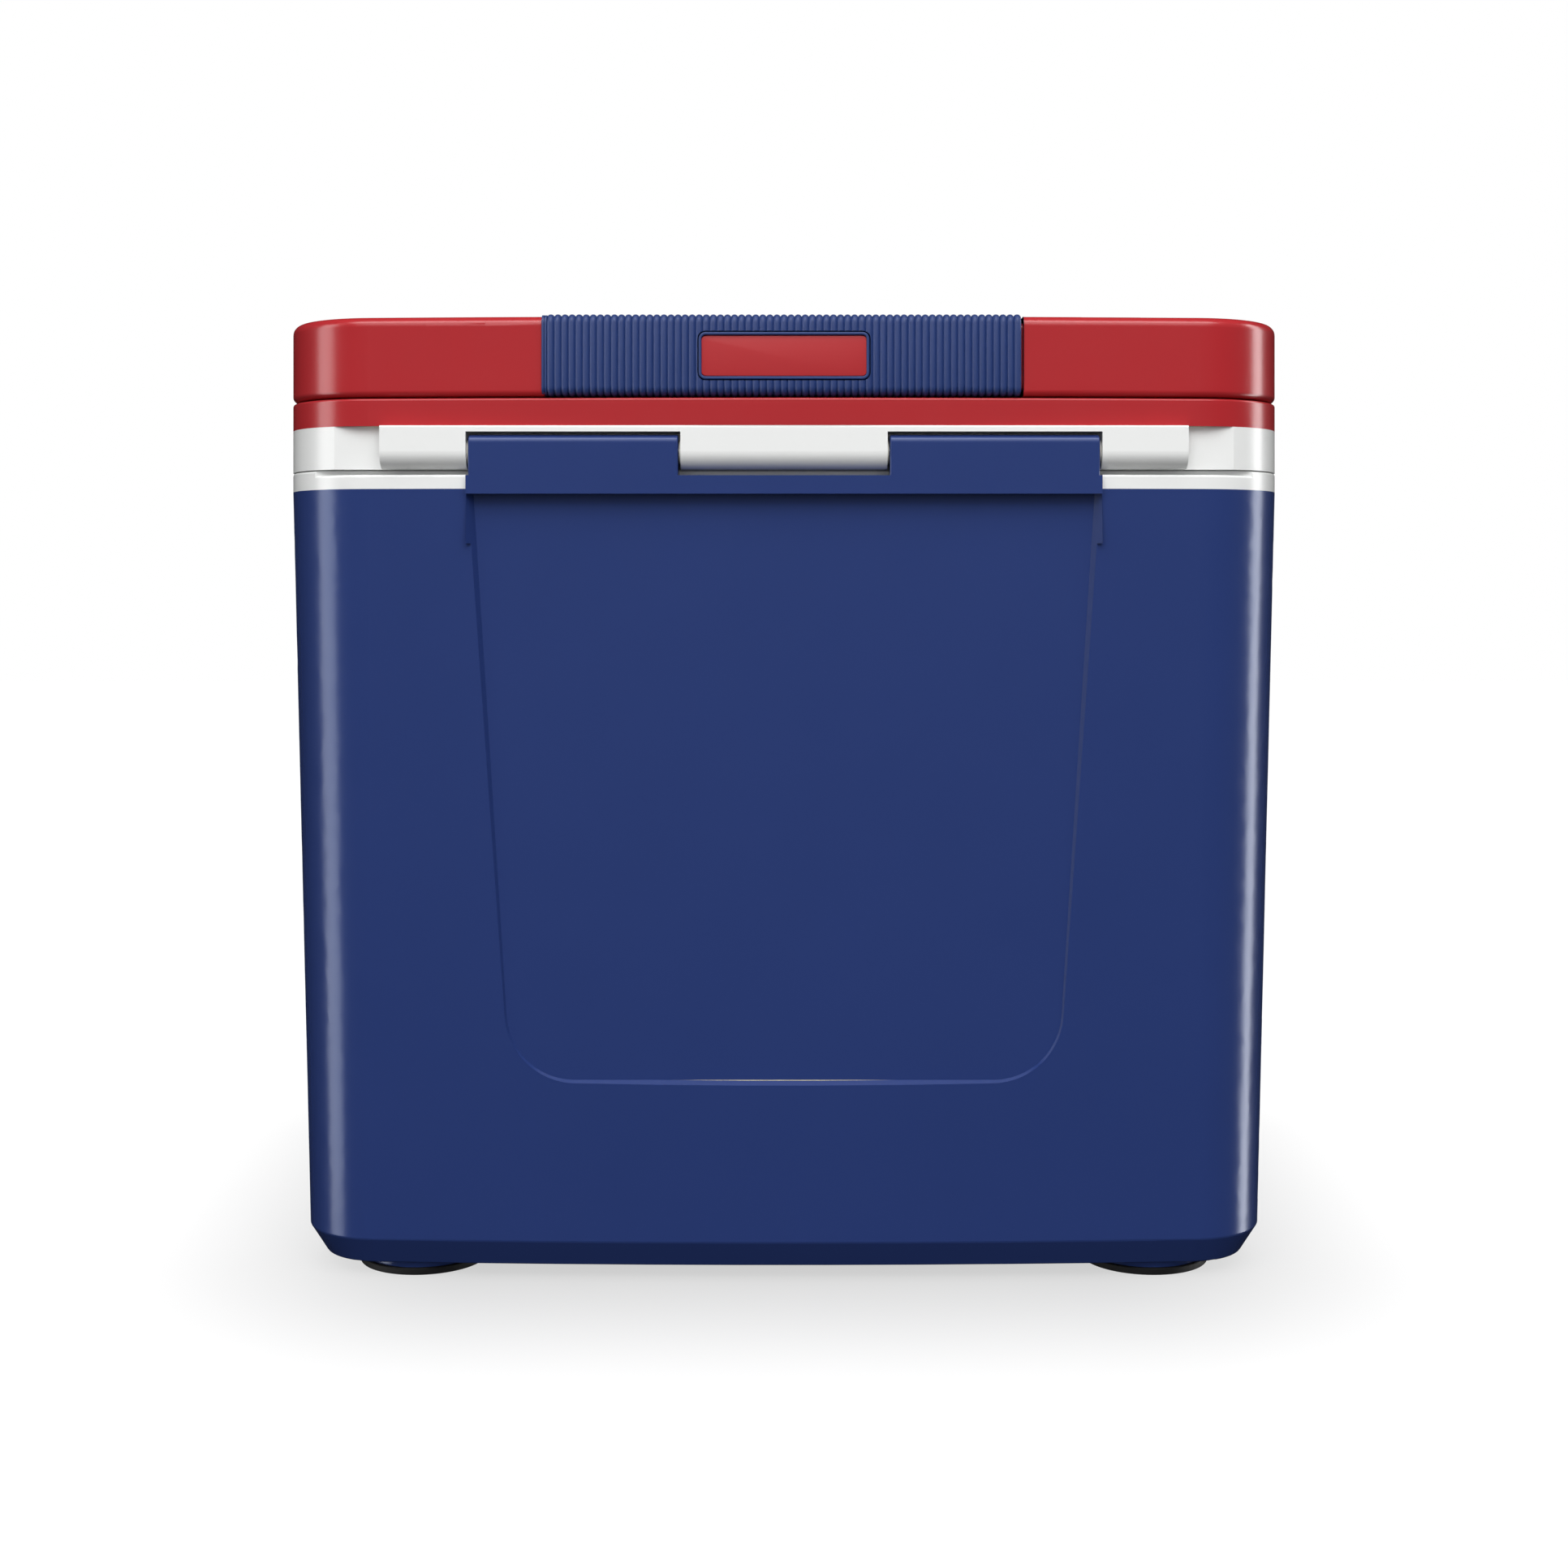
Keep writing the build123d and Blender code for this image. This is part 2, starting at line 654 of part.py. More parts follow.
def make_lid_base():
    """White lower half of the lid: hinge boss, knuckles, plug and gasket groove."""
    base = prism(0, lid_bottom, lid_base_top)
    side = block(boss_half, width, -depth, hinge_face + corner_set_back, lid_bottom, lid_base_top)
    base = base - side - mirror(side, Plane.YZ)
    boss_back = hinge_y + notch_clear + notch_wall
    boss = block(-boss_half, boss_half, hinge_face, boss_back, lid_bottom, lid_base_top)
    front_top = boss.edges().filter_by(Axis.X).group_by(Axis.Z)[-1].sort_by(Axis.Y)[0]
    boss = fillet(front_top, knuckle_edge)
    base = base + boss
    below = block(-boss_half, boss_half, hinge_face - overlap, hinge_y, lid_bottom, hinge_z)
    base = base - (below - rod(-boss_half, boss_half, hinge_y, hinge_z, barrel_radius))
    plug = prism(plug_inset, lid_bottom - plug_depth, lid_bottom)
    plug = fillet(plug.faces().sort_by(Axis.Z)[0].edges(), plug_blend)
    base = base + plug - lid_base_hollow(0)
    base = base - both_sides(lid_notch())
    pocket = side_pocket(0, lid_bottom, lid_base_top)
    base = base - pocket - mirror(pocket, Plane.YZ)
    pull_y, pull_top = depth / 2 - pull_depth, lid_bottom + pull_height
    pull = block(-pull_half, pull_half, pull_y, depth, lid_bottom - overlap, pull_top)
    inner_edge = pull.edges().filter_by(Axis.X).sort_by(Axis.Z)[-2:].sort_by(Axis.Y)[0]
    base = base - fillet(inner_edge, pull_blend)
    base = base - ring(gasket_outer, gasket_inner, lid_bottom, lid_bottom + gasket_groove)
    base = base - rod(-boss_half, -pin_inner, hinge_y, hinge_z, pin_radius + pin_fit)
    base = base - rod(pin_inner, boss_half, hinge_y, hinge_z, pin_radius + pin_fit)
    for x, y in screw_places():
        low = lid_bottom - plug_depth
        base = base - post(x, y, low, lid_bottom, screw_radius + screw_fit)
        base = base - post(x, y, low, low + screw_head, screw_head_radius + screw_fit)
    return base


def make_lid_insulation():
    """Foam that fills the closed lid."""
    foam = lid_hollow(foam_fit) + lid_base_hollow(foam_fit)
    for x, y in screw_places():
        foam = foam - post(x, y, 0, lid_top, post_radius + foam_fit)
    room = block(
        channel_x - lid_wall - pivot_tail - pivot_fit - lid_wall,
        width,
        -backing_length / 2 - foam_fit,
        backing_length / 2 + foam_fit,
        pivot_z - backing_height / 2 - foam_fit,
        pivot_z + backing_height / 2 + foam_fit,
    )
    return foam - both_sides(room)


def make_lid_gasket():
    """Soft ring that seals on the liner's flange."""
    low, high = collar_top + gasket_clear, lid_bottom + gasket_groove - gasket_fit
    return ring(gasket_outer + gasket_fit, gasket_inner - gasket_fit, low, high)


def make_lid_screws():
    """Screws that join the two halves of the lid, from below."""
    screws = []
    low = lid_bottom - plug_depth + head_sink
    for x, y in screw_places():
        head = post(x, y, low, lid_bottom - plug_depth + screw_head, screw_head_radius)
        shank = post(x, y, low, lid_bottom + screw_reach - screw_tip, screw_radius - screw_fit)
        screws.append(head + shank)
    return Compound(children=screws)


def make_hinge_washers():
    """Thin washers on the pins between lid and shell knuckles."""
    washers = []
    for x in (centre_knuckle_half, plate_half - washer_thickness):
        disc = rod(x, x + washer_thickness, hinge_y, hinge_z, washer_radius)
        disc = disc - rod(x, x + washer_thickness, hinge_y, hinge_z, pin_radius + pin_fit)
        washers.append(disc)
    return Compound(children=washers + [mirror(disc, Plane.YZ) for disc in washers])


def backing_plate():
    """Threaded plate behind the lid's wall at +X."""
    x1 = channel_x - lid_wall - pivot_fit
    plate = block(
        x1 - backing_thickness,
        x1,
        -backing_length / 2,
        backing_length / 2,
        pivot_z - backing_height / 2,
        pivot_z + backing_height / 2,
    )
    plate = fillet(plate.edges().filter_by(Axis.X), backing_blend)
    return plate - rod(x1 - backing_thickness, x1, 0, pivot_z, pivot_radius + pivot_fit)


def pivot_pin():
    """Shoulder screw at +X that the handle turns on."""
    head_x = width / 2 - arm_thickness + bush_length + pivot_head_gap
    shank = rod(channel_x - lid_wall - pivot_tail, head_x, 0, pivot_z, pivot_radius)
    head = rod(head_x, head_x + pivot_head, 0, pivot_z, pivot_head_radius)
    return shank + fillet(head.edges().sort_by(Axis.X)[-1], pad_blend)


# --- Handle -----------------------------------------------------------------


def bail_bar():
    """U-shaped bar around the hinge side's half of the lid."""
    outside = prism(0, handle_bottom, handle_top)
    outside = fillet(outside.faces().sort_by(Axis.Z)[-1].edges(), bar_top_blend)
    outside = fillet(outside.faces().sort_by(Axis.Z)[0].edges(), bar_low_blend)
    half = width / 2 - arm_thickness
    back = hinge_face + bar_depth
    shape = Pos(0, back / 2 + depth / 4, handle_bottom) * Rectangle(2 * half, depth / 2 - back)
    shape = fillet(shape.vertices().sort_by(Axis.Y)[:2], handle_inner_corner)
    inside = extrude(shape, handle_height, dir=(0, 0, 1))
    return (outside - inside) & block(-width, width, -depth, 0, 0, handle_top)


def grip_core():
    """The bar where it is necked down for the soft grip."""
    core = block(
        -grip_half,
        grip_half,
        hinge_face + grip_front_wall,
        hinge_face + bar_depth - grip_wall,
        handle_bottom + grip_wall,
        handle_top - grip_wall,
    )
    return fillet(core.edges().filter_by(Axis.X), grip_wall)


def hub_and_lobe():
    """Round hub at +X with the locking lobe and its inward nose."""
    inner_x = width / 2 - arm_thickness
    hub = rod(inner_x, width / 2, 0, pivot_z, hub_radius)
    hub = fillet(hub.edges().sort_by(Axis.X)[-1], hub_blend)
    lobe_x = width / 2 - lobe_thickness
    strip = block(lobe_x - nose_reach, width / 2, 0, lobe_length, pivot_z - lobe_half, pivot_z + lobe_half)
    strip = strip & rod(lobe_x - nose_reach, width / 2, 0, pivot_z, lobe_length)
    lobe = strip - rod(lobe_x - nose_reach, lobe_x, 0, pivot_z, lobe_length - nose_height)
    return hub + lobe


def make_handle_bail():
    """Red swinging handle."""
    grip_room = block(-grip_half, grip_half, -depth, 0, handle_bottom, handle_top) - grip_core()
    bail = bail_bar() - grip_room + both_sides(hub_and_lobe())
    outer_x = width / 2
    inner_x = outer_x - arm_thickness
    seat_x = inner_x + bush_length
    bore = rod(inner_x, seat_x, 0, pivot_z, bush_radius + bush_fit)
    head_space = rod(seat_x, outer_x - cap_thickness, 0, pivot_z, pivot_head_radius + head_room)
    cap_room = rod(outer_x - cap_thickness, outer_x, 0, pivot_z, cap_radius + cap_fit)
    return bail - both_sides(bore + head_space + cap_room)


def make_handle_grip():
    """Soft sleeve around the middle of the bar."""
    back, top = hinge_face + bar_depth, handle_top + rib_height
    sleeve = block(-grip_half, grip_half, hinge_face, back, handle_bottom, top)
    sleeve = fillet(sleeve.edges().filter_by(Axis.X), grip_blend)
    return sleeve - grip_core() - badge_block(badge_fit, badge_sink + badge_thickness)


def badge_block(grow, back):
    """Badge-shaped block from the grip's face back into it."""
    shape = RectangleRounded(badge_width + 2 * grow, badge_height + 2 * grow, badge_corner)
    face = Plane(origin=(0, hinge_face + back, pivot_z), x_dir=(1, 0, 0), z_dir=(0, -1, 0)) * shape
    return extrude(face, back)


def make_handle_badge():
    """Plain red plate set into the grip; it carries no marking."""
    return badge_block(0, badge_sink + badge_thickness) - block(
        -badge_width, badge_width, -depth, hinge_face + badge_sink, handle_bottom, handle_top
    )


def pivot_bush():
    """Bush pressed into the hub at +X."""
    x0 = width / 2 - arm_thickness
    bush = rod(x0, x0 + bush_length, 0, pivot_z, bush_radius)
    return bush - rod(x0, x0 + bush_length, 0, pivot_z, pivot_radius + pivot_fit)


def hub_cap():
    """Cap over the pivot at +X."""
    cap = rod(width / 2 - cap_thickness, width / 2, 0, pivot_z, cap_radius)
    return fillet(cap.edges().sort_by(Axis.X)[-1], pad_blend)


def hinge_pin():
    """Steel pin at +X through the lid's and the shell's knuckles."""
    return rod(pin_inner, pin_outer, hinge_y, hinge_z, pin_radius)


# --- Output -----------------------------------------------------------------

nodes = {
    "outer_shell": make_outer_shell(),
    "rim_collar": make_rim_collar(),
    "inner_liner": make_inner_liner(),
    "body_insulation": make_body_insulation(),
    "foam_fill_plug": make_foam_fill_plug(),
    "foot_screws": make_foot_screws(),
    "catch_screws": make_catch_screws(),
    "lid_cover": make_lid_cover(),
    "lid_base": make_lid_base(),
    "lid_insulation": make_lid_insulation(),
    "lid_gasket": make_lid_gasket(),
    "lid_screws": make_lid_screws(),
    "hinge_washers": make_hinge_washers(),
    "handle_bail": make_handle_bail(),
    "handle_grip": make_handle_grip(),
    "handle_badge": make_handle_badge(),
}
for place, foot_px, foot_py in feet_places():
    nodes["foot_pad_" + place] = make_foot_pad(foot_px, foot_py)
paired = {
    "latch_catch": catch_shape(),
    "hinge_pin": hinge_pin(),
    "pivot_pin": pivot_pin(),
    "pivot_backing": backing_plate(),
    "pivot_bush": pivot_bush(),
    "hub_cap": hub_cap(),
}
for name, shape in paired.items():
    nodes[name + "_right"] = shape
    nodes[name + "_left"] = mirror(shape, Plane.YZ)

for name, shape in nodes.items():
    export_step(shape, "parts/" + name + ".step")
    print(name, len(shape.solids()), round(shape.volume))
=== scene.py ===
# %% [markdown]
# # A hard-sided cooler chest, piece by piece
# The chest is a foam-filled tub of blue polypropylene with a white rim and liner. Its lid
# has a white lower half and a red upper half, and a U-shaped red handle with a soft blue
# grip swings round it. The moulded shells already have their true shape in the packed
# model, so this lesson gives them their finish, and it models afresh what a plain solid
# can't show: the ribbed grip, the badge and its frame, the seal, the feet and the screws.

import json
from math import cos, pi, radians, sin, sqrt

import bmesh
import bpy
from mathutils import Matrix, Vector


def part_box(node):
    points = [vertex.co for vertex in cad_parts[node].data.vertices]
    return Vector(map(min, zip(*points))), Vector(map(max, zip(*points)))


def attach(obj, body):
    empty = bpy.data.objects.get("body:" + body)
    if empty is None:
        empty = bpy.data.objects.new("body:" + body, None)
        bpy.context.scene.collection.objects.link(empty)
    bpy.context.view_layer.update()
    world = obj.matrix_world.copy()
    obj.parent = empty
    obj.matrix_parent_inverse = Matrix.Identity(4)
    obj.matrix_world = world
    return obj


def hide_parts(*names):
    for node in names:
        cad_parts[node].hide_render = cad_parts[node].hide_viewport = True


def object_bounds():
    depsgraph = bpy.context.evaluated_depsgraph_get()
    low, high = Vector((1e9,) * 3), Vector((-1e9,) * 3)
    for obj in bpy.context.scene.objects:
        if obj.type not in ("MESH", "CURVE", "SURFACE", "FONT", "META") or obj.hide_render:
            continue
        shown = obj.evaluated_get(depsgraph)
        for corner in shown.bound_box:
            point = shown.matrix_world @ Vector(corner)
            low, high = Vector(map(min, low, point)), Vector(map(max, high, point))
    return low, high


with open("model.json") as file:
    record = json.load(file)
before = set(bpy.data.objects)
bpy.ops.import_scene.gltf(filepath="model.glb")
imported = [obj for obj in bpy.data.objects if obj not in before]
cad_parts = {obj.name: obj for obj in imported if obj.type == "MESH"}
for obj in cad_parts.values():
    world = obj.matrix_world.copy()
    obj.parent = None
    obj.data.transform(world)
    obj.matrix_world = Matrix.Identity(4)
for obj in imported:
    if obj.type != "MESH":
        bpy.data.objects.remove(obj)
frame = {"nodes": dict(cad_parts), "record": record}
cad_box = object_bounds()
nodes = frame["nodes"]
scene = bpy.context.scene

# %% [markdown]
# ## Small helpers
# All sizes below are written in millimetres and turned to metres where they are used.
# A finished piece rides on the body that carries it, and stands in for the plain solid it
# replaces.

# %% Units, colours and nodes
MM = 0.001


def linear(code):
    """sRGB hex value to the linear colour that shaders use."""
    parts = [int(code[i : i + 2], 16) / 255 for i in (0, 2, 4)]
    return (*[c / 12.92 if c <= 0.04045 else ((c + 0.055) / 1.055) ** 2.4 for c in parts], 1.0)


def add_node(tree, kind, settings=None, values=None, links=None):
    """One node with its settings, socket values and incoming links."""
    node = tree.nodes.new(kind)
    for name, value in (settings or {}).items():
        setattr(node, name, value)
    for socket, value in (values or {}).items():
        node.inputs[socket].default_value = value
    for socket, source in (links or {}).items():
        tree.links.new(source, node.inputs[socket])
    return node


def new_material(name):
    """Empty node material with its output node."""
    material = bpy.data.materials.new(name)
    material.use_nodes = True
    material.node_tree.nodes.clear()
    return material, material.node_tree


# %% Turning a bmesh into a finished piece
def make_piece(name, bm, material, body, replaced=(), smooth_angle=40):
    """Object from a bmesh: smooth between shallow angles, riding on its body."""
    mesh = bpy.data.meshes.new(name)
    bmesh.ops.recalc_face_normals(bm, faces=bm.faces)
    for face in bm.faces:
        face.smooth = True
    for edge in bm.edges:
        edge.smooth = len(edge.link_faces) == 2 and edge.calc_face_angle() < radians(smooth_angle)
    bm.to_mesh(mesh)
    bm.free()
    piece = bpy.data.objects.new(name, mesh)
    scene.collection.objects.link(piece)
    mesh.materials.append(material)
    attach(piece, body)
    if replaced:
        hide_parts(*replaced)
    print(name, len(mesh.polygons), "faces")
    return piece


def centre_of(box):
    """Middle of a box given by two corners."""
    return (box[0] + box[1]) / 2


# %% [markdown]
# ## Camera
# The chest is looked at square on from its hinge side, with the lens axis level and a
# little above the middle. The small vertical shift keeps the sides upright while the
# whole chest stays in the frame, as a photographer's shift lens does.

# %% Camera
FOCAL = 49.4
CAMERA_HEIGHT = 278.3
CAMERA_DISTANCE = 861.0  # from the lens to the hinge side
camera_data = bpy.data.cameras.new("camera")
camera_data.lens = FOCAL
camera_data.shift_y = -0.12
camera = bpy.data.objects.new("camera", camera_data)
camera.location = (0, cad_box[0].y - CAMERA_DISTANCE * MM, CAMERA_HEIGHT * MM)
camera.rotation_euler = (radians(90), 0, 0)
scene.collection.objects.link(camera)
scene.camera = camera

# %% [markdown]
# ## Moulded polypropylene
# The shell, the trim and the handle are injection-moulded polypropylene. The polished
# steel mould leaves a satin skin: broad soft highlights, a faint unevenness where the
# wall cooled, and a fine grain. One function makes all of them, because only the colour
# and the polish differ. The real grain is about 0.1 mm, too fine to show, so it is drawn
# at 0.5 mm and kept very shallow.

# %% Moulded plastics
GRAIN = 0.5  # mm
COOLING_WAVE = 45.0  # mm between the soft swells of a cooled wall
POLISH_PATCH = 9.0  # mm across a slightly shinier patch


def noise(tree, coordinates, size, detail=2.0):
    """Noise with features of a size in millimetres."""
    values = {"Scale": 1 / (size * MM), "Detail": detail}
    return add_node(tree, "ShaderNodeTexNoise", values=values, links={"Vector": coordinates})


def moulded(name, dark, light, low_gloss, high_gloss, tint="ffffff", grain=GRAIN, depth=0.003):
    """Moulded plastic between two close colours and two close roughness values.

    The tint colours its reflections a little, and the depth of the grain is in mm.
    """
    material, tree = new_material(name)
    place = add_node(tree, "ShaderNodeTexCoord").outputs["Object"]
    swell = noise(tree, place, COOLING_WAVE).outputs["Fac"]
    patch = noise(tree, place, POLISH_PATCH).outputs["Fac"]
    fine = noise(tree, place, grain, 3.0).outputs["Fac"]
    colour = add_node(
        tree,
        "ShaderNodeMix",
        {"data_type": "RGBA"},
        {"A": linear(dark), "B": linear(light)},
        {"Factor": swell},
    )
    gloss = add_node(
        tree,
        "ShaderNodeMapRange",
        values={"From Min": 0.2, "From Max": 0.8, "To Min": low_gloss, "To Max": high_gloss},
        links={"Value": patch},
    )
    bump = add_node(
        tree,
        "ShaderNodeBump",
        values={"Strength": 0.35, "Distance": depth * MM},
        links={"Height": fine},
    )
    surface = add_node(
        tree,
        "ShaderNodeBsdfPrincipled",
        values={"IOR": 1.49, "Specular Tint": linear(tint)},
        links={
            "Base Color": colour.outputs[2],
            "Roughness": gloss.outputs["Result"],
            "Normal": bump.outputs["Normal"],
        },
    )
    add_node(tree, "ShaderNodeOutputMaterial", links={"Surface": surface.outputs["BSDF"]})
    return material


# Dark blue polypropylene, satin: the tub.
blue_shell = moulded("polypropylene_blue_satin", "293b73", "2b3d76", 0.22, 0.25, "dfeaff")
# White polypropylene, satin: rim and lid base.
white_trim = moulded("polypropylene_white_satin", "f0f1f0", "f2f3f2", 0.24, 0.27)
# Food-safe white polypropylene from a polished mould: the liner.
white_liner = moulded("polypropylene_white_polished", "e8eaea", "eaecec", 0.22, 0.26)
# Red polypropylene, satin: lid cover and handle.
red_cover = moulded("polypropylene_red_satin", "b0272d", "b32a2f", 0.22, 0.25)
# Smooth red plate: the blank badge. A finer mould, so less grain.
red_badge = moulded("acrylic_red_badge", "b7272d", "ba2a2f", 0.36, 0.40, grain=0.4, depth=0.002)
# Thermoplastic elastomer: the grip. It scatters light widely and shows little gloss.
blue_grip = moulded("elastomer_blue_grip", "213870", "243b75", 0.46, 0.52, grain=0.4, depth=0.01)
# Black rubber: the feet. Rough, with a coarse grain.
foot_rubber = moulded("rubber_black", "101012", "18181a", 0.62, 0.74, grain=0.8, depth=0.05)
# Grey thermoplastic rubber: the lid's seal.
gasket_rubber = moulded("rubber_grey_seal", "868b8d", "93989a", 0.50, 0.60, grain=0.6, depth=0.02)
# Natural nylon: washers and bushes. Creamy, with a low gloss.
nylon = moulded("nylon_natural", "dcd9cd", "e6e3d9", 0.38, 0.46)

# %% [markdown]
# ## Steel and foam
# Pins, screws and catches are zinc-plated steel: a metal with a soft directional polish.
# Rigid polyurethane foam fills the walls and the lid. It can't be seen while the chest
# is whole, but it gets its cells and its pale yellow, so that a cut-open view is true.

# %% Zinc-plated steel
BRUSH_LENGTH = 4.0  # mm along the polishing lines
BRUSH_WIDTH = 0.15  # mm across them


def plated_steel(name, colour):
    """Bright plated steel with fine polishing lines along X."""
    material, tree = new_material(name)
    place = add_node(tree, "ShaderNodeTexCoord").outputs["Object"]
    stretch = add_node(
        tree,
        "ShaderNodeMapping",
        values={"Scale": (BRUSH_WIDTH / BRUSH_LENGTH, 1, 1)},
        links={"Vector": place},
    )
    lines = noise(tree, stretch.outputs["Vector"], BRUSH_WIDTH * 3).outputs["Fac"]
    gloss = add_node(
        tree,
        "ShaderNodeMapRange",
        values={"From Min": 0.3, "From Max": 0.7, "To Min": 0.22, "To Max": 0.38},
        links={"Value": lines},
    )
    bump = add_node(
        tree,
        "ShaderNodeBump",
        values={"Strength": 0.2, "Distance": 0.004 * MM},
        links={"Height": lines},
    )
    surface = add_node(
        tree,
        "ShaderNodeBsdfPrincipled",
        values={"Base Color": linear(colour), "Metallic": 1.0},
        links={"Roughness": gloss.outputs["Result"], "Normal": bump.outputs["Normal"]},
    )
    add_node(tree, "ShaderNodeOutputMaterial", links={"Surface": surface.outputs["BSDF"]})
    return material


steel = plated_steel("steel_zinc_plated", "c4c6c8")

# %% Rigid foam
FOAM_CELL = 0.8  # mm across a cell


def rigid_foam(name, wall_colour, painted_hollow_shade):
    """Fine closed cells: light cell walls around hollows darkened with painted shade."""
    material, tree = new_material(name)
    place = add_node(tree, "ShaderNodeTexCoord").outputs["Object"]
    cells = add_node(
        tree,
        "ShaderNodeTexVoronoi",
        {"feature": "DISTANCE_TO_EDGE"},
        {"Scale": 1 / (FOAM_CELL * MM)},
        {"Vector": place},
    ).outputs["Distance"]
    hollow = add_node(
        tree, "ShaderNodeMapRange", values={"From Max": 0.3}, links={"Value": cells}
    ).outputs["Result"]
    # painted shade: the cells' hollows get the darker colour
    colour = add_node(
        tree,
        "ShaderNodeMix",
        {"data_type": "RGBA"},
        {"A": linear(wall_colour), "B": linear(painted_hollow_shade)},
        {"Factor": hollow},
    )
    bump = add_node(
        tree,
        "ShaderNodeBump",
        {"invert": True},
        {"Strength": 0.6, "Distance": 0.2 * MM},
        {"Height": hollow},
    )
    surface = add_node(
        tree,
        "ShaderNodeBsdfPrincipled",
        values={"Roughness": 0.9, "IOR": 1.5},
        links={"Base Color": colour.outputs[2], "Normal": bump.outputs["Normal"]},
    )
    add_node(tree, "ShaderNodeOutputMaterial", links={"Surface": surface.outputs["BSDF"]})
    return material


# the second colour is painted shade for the cells' hollows
foam = rigid_foam("polyurethane_foam_rigid", "efe6bd", "dfd19c")

# %% [markdown]
# ## Finishes for the moulded shells
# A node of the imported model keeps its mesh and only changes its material. The record
# names each node's slot, so the finish is looked up by slot.

# %% Assign the finishes
finishes = {
    "blue_shell": blue_shell,
    "white_trim": white_trim,
    "white_liner": white_liner,
    "red_cover": red_cover,
    "red_badge": red_badge,
    "blue_grip": blue_grip,
    "foot_rubber": foot_rubber,
    "gasket": gasket_rubber,
    "nylon": nylon,
    "steel": steel,
    "foam": foam,
}
for part in frame["record"]["subparts"]:
    for material_slot in nodes[part["node"]].material_slots:
        material_slot.material = finishes[part["material_slot"]]

# %% [markdown]
# ## Shapes that come back
# Three shapes are used again and again: a face with round corners that is pushed out in
# steps, a turned profile, and a screw. A turned piece starts as the outline of half its
# section and is spun about its axis, as on a lathe.

# %% A face with round corners, and pushing it out
FACE_TURNS = {
    "X": Matrix.Rotation(2 * pi / 3, 3, (1, 1, 1)),  # size_a along Y, size_b along Z
    "Y": Matrix.Rotation(pi / 2, 3, "X"),  # size_a along X, size_b along Z
}


def rounded_face(bm, centre, size_a, size_b, radius, across, steps=6):
    """Face square to the across axis, with round corners; sizes in millimetres."""
    verts = bmesh.ops.create_grid(bm, x_segments=1, y_segments=1, size=0.5 * MM)["verts"]
    bmesh.ops.scale(bm, vec=(size_a, size_b, 1), verts=verts)
    bmesh.ops.rotate(bm, matrix=FACE_TURNS[across], verts=verts)
    bmesh.ops.translate(bm, vec=centre, verts=verts)
    face = verts[0].link_faces[0]
    bmesh.ops.bevel(
        bm,
        geom=verts,
        offset=radius * MM,
        offset_type="OFFSET",
        segments=steps,
        profile=0.5,
        affect="VERTICES",
        material=-1,
    )
    return next(face for face in bm.faces if len(face.verts) == 4 * (steps + 1))


def push(bm, face, step, closed=False):
    """Extrude a face by a vector, and return the new end face."""
    if closed:
        bmesh.ops.duplicate(bm, geom=[face])
    end = bmesh.ops.extrude_discrete_faces(bm, faces=[face])["faces"][0]
    bmesh.ops.translate(bm, vec=step, verts=end.verts)
    return end


WELD = 0.002  # mm between vertices that count as one


def weld(bm):
    """Join vertices that lie on each other."""
    bmesh.ops.remove_doubles(bm, verts=bm.verts, dist=WELD * MM)


def round_edges(bm, edges, radius):
    """Roll some edges over with a bevel of three segments."""
    bmesh.ops.bevel(
        bm,
        geom=edges,
        offset=radius * MM,
        offset_type="OFFSET",
        segments=3,
        profile=0.5,
        affect="EDGES",
        material=-1,
    )


def is_sharp(edge):
    """Whether two faces meet at this edge at more than 60 degrees."""
    return len(edge.link_faces) == 2 and edge.calc_face_angle() > radians(60)


# %% Turned pieces
def lathe(bm, profile, steps=48, loop=False):
    """Spin (radius, height) points in millimetres about Z; returns the new vertices."""
    before = set(bm.verts)
    line = [bm.verts.new((radius * MM, 0, height * MM)) for radius, height in profile]
    edges = [bm.edges.new(pair) for pair in zip(line, line[1:])]
    if loop:
        edges.append(bm.edges.new((line[-1], line[0])))
    bmesh.ops.spin(
        bm,
        geom=line + edges,
        angle=2 * pi,
        axis=(0, 0, 1),
        cent=(0, 0, 0),
        steps=steps,
        use_merge=True,
    )
    made = [vert for vert in bm.verts if vert not in before]
    bmesh.ops.remove_doubles(bm, verts=made, dist=WELD * MM)
    return [vert for vert in bm.verts if vert not in before]


def rim_of(verts):
    """Open edges among some vertices."""
    return list({edge for vert in verts for edge in vert.link_edges if edge.is_boundary})


# %% A screw with a hexagon socket
HEX_SIDES = 6
EDGE_BREAK = 0.3  # mm, the broken edge of a turned head


def screw(bm, place, axis, head, shank, length, socket, head_height):
    """Cheese-head screw whose head's top is at place and faces along axis."""
    profile = [
        (0, -length),
        (shank - EDGE_BREAK, -length),
        (shank, EDGE_BREAK - length),
        (shank, -head_height),
        (head, -head_height),
        (head, -EDGE_BREAK),
        (head - EDGE_BREAK, 0),
    ]
    made = lathe(bm, profile, steps=24)
    outer = rim_of(made)
    hexagon = bmesh.ops.create_circle(bm, segments=HEX_SIDES, radius=socket * MM)["verts"]
    inner = list({edge for vert in hexagon for edge in vert.link_edges})
    bmesh.ops.bridge_loops(bm, edges=outer + inner)
    sunk = bmesh.ops.extrude_edge_only(bm, edges=inner)["geom"]
    floor = [item for item in sunk if isinstance(item, bmesh.types.BMVert)]
    bmesh.ops.translate(bm, vec=(0, 0, -socket * MM), verts=floor)
    bmesh.ops.contextual_create(bm, geom=floor)
    whole = list({*made, *hexagon, *floor})
    turn = Vector((0, 0, 1)).rotation_difference(Vector(axis)).to_matrix()
    bmesh.ops.rotate(bm, matrix=turn, verts=whole)
    bmesh.ops.translate(bm, vec=place, verts=whole)


